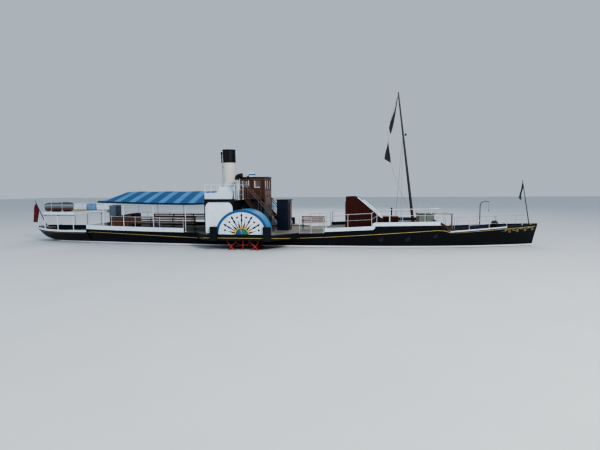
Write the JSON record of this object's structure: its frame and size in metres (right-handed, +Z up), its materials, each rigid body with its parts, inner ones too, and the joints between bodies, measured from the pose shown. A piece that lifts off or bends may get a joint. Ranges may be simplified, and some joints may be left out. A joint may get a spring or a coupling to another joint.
{
  "type": "paddle steamer",
  "caption": "River paddle steamer with side paddle wheels in fan-fronted boxes, black hull, striped arched awning aft, wheelhouse, funnel, raked mast and boarding stage over the stern.",
  "frame": {"origin": "on the centreline at the waterline, half-way along the hull", "axes": "+X towards the bow, +Y to port, +Z up"},
  "size_m": [34.495, 8.8, 10.4855],
  "materials": {
    "black_paint": "gloss black hull paint with a thin gold line and a white boot topping",
    "white_paint": "semi-gloss white paint",
    "cream_paint": "semi-gloss cream paint with a black top",
    "grey_paint": "semi-gloss grey-blue paint",
    "navy_paint": "semi-gloss dark blue paint",
    "red_paint": "satin red paint, water-stained",
    "varnished_wood": "varnished red-brown hardwood",
    "dark_wood": "oiled dark wood",
    "steel": "oiled machinery steel",
    "black_iron": "matt black iron",
    "grey_hull": "weathered grey-brown moulded boat hull",
    "awning_cloth": "blue and pale blue striped canvas",
    "white_canvas": "white canvas",
    "red_cloth": "red bunting",
    "navy_cloth": "dark blue bunting",
    "green_cloth": "dark green and white bunting"
  },
  "bodies": {
    "vessel": {"hull": "black_paint", "stern_rim": "white_paint", "aft_bulwark": "white_paint", "fore_bulwark": "white_paint", "bow_cap": "white_paint", "engine": "steel", "boiler": "black_iron", "engine_casing": "navy_paint", "bridge_deck": "black_paint", "fiddley": "white_paint", "funnel": "cream_paint", "wheelhouse": "varnished_wood", "wheelhouse_roof": "black_paint", "fore_hood": "varnished_wood", "hatch_house": "navy_paint", "aft_hatch": "dark_wood", "awning": "awning_cloth", "awning_frame": "white_paint", "mast": "dark_wood", "stern_platform": "white_paint", "dinghy": "grey_hull", "windlass": "black_iron", "mid_bench": "dark_wood", "bow_ladder": "varnished_wood", "fore_skylight": "white_paint", "ensign": "red_cloth", "pennant": "navy_cloth", "cone_flag": "navy_cloth", "jack": "green_cloth", "sponson_starboard": "black_paint", "paddle_box_starboard": "white_paint", "sponson_house_starboard": "white_paint", "bridge_rail_starboard": "white_paint", "bridge_dodger_starboard": "white_canvas", "bridge_ladder_starboard": "varnished_wood", "aft_bench_starboard": "dark_wood", "sponson_port": "black_paint", "paddle_box_port": "white_paint", "sponson_house_port": "white_paint", "bridge_rail_port": "white_paint", "bridge_dodger_port": "white_canvas", "bridge_ladder_port": "varnished_wood", "aft_bench_port": "dark_wood", "platform_lockers": "white_paint", "platform_rail_starboard": "steel", "platform_rail_port": "steel", "vent_posts": "black_paint", "tall_locker": "grey_paint"},
    "rudder": {"rudder": "black_paint"},
    "helm": {"helm_wheel": "varnished_wood"},
    "paddle_wheels": {"paddle_wheel_starboard": "red_paint", "paddle_wheel_port": "red_paint", "paddle_shaft": "steel"},
    "wheelhouse_door_starboard": {"wheelhouse_door_starboard": "varnished_wood"},
    "wheelhouse_door_port": {"wheelhouse_door_port": "varnished_wood"},
    "sponson_house_door_starboard": {"sponson_house_door_starboard": "varnished_wood"},
    "sponson_house_door_port": {"sponson_house_door_port": "varnished_wood"},
    "fore_hood_door": {"fore_hood_door": "varnished_wood"},
    "hatch_door": {"hatch_door": "varnished_wood"},
    "aft_hatch_door": {"aft_hatch_door": "varnished_wood"}
  },
  "joints": [
    {"name": "paddle_wheels_turn", "type": "hinge", "parent": "vessel", "child": "paddle_wheels", "pos_m": [-0.43, 0, 0.92], "axis": [0, 1, 0], "continuous": true},
    {"name": "rudder_turn", "type": "hinge", "parent": "vessel", "child": "rudder", "pos_m": [-14.71, 0, 0], "axis": [0, 0, 1], "range_deg": [-35, 35]},
    {"name": "helm_turn", "type": "hinge", "parent": "vessel", "child": "helm", "pos_m": [-0.05, 0, 3.23], "axis": [1, 0, 0], "range_deg": [-540, 540]},
    {"name": "wheelhouse_door_starboard_slide", "type": "slide", "parent": "vessel", "child": "wheelhouse_door_starboard", "axis": [-1, 0, 0], "range_m": [0, 0.6]},
    {"name": "wheelhouse_door_port_slide", "type": "slide", "parent": "vessel", "child": "wheelhouse_door_port", "axis": [-1, 0, 0], "range_m": [0, 0.6]},
    {"name": "sponson_house_door_starboard_swing", "type": "hinge", "parent": "vessel", "child": "sponson_house_door_starboard", "pos_m": [-2.6343, -3.77, 0], "axis": [0, 0, 1], "range_deg": [0, 95]},
    {"name": "sponson_house_door_port_swing", "type": "hinge", "parent": "vessel", "child": "sponson_house_door_port", "pos_m": [-2.6343, 3.77, 0], "axis": [0, 0, -1], "range_deg": [0, 95]},
    {"name": "fore_hood_door_swing", "type": "hinge", "parent": "vessel", "child": "fore_hood_door", "pos_m": [5.3857, 0.5, 0], "axis": [0, 0, -1], "range_deg": [0, 95]},
    {"name": "hatch_door_swing", "type": "hinge", "parent": "vessel", "child": "hatch_door", "pos_m": [1.6843, 0.34, 0], "axis": [0, 0, 1], "range_deg": [0, 95]},
    {"name": "aft_hatch_door_swing", "type": "hinge", "parent": "vessel", "child": "aft_hatch_door", "pos_m": [-9.2857, 0.42, 0], "axis": [0, 0, 1], "range_deg": [0, 95]}
  ],
  "couplings": [
    {"joint": "helm_turn", "follows": "rudder_turn", "ratio": 15}
  ]
}
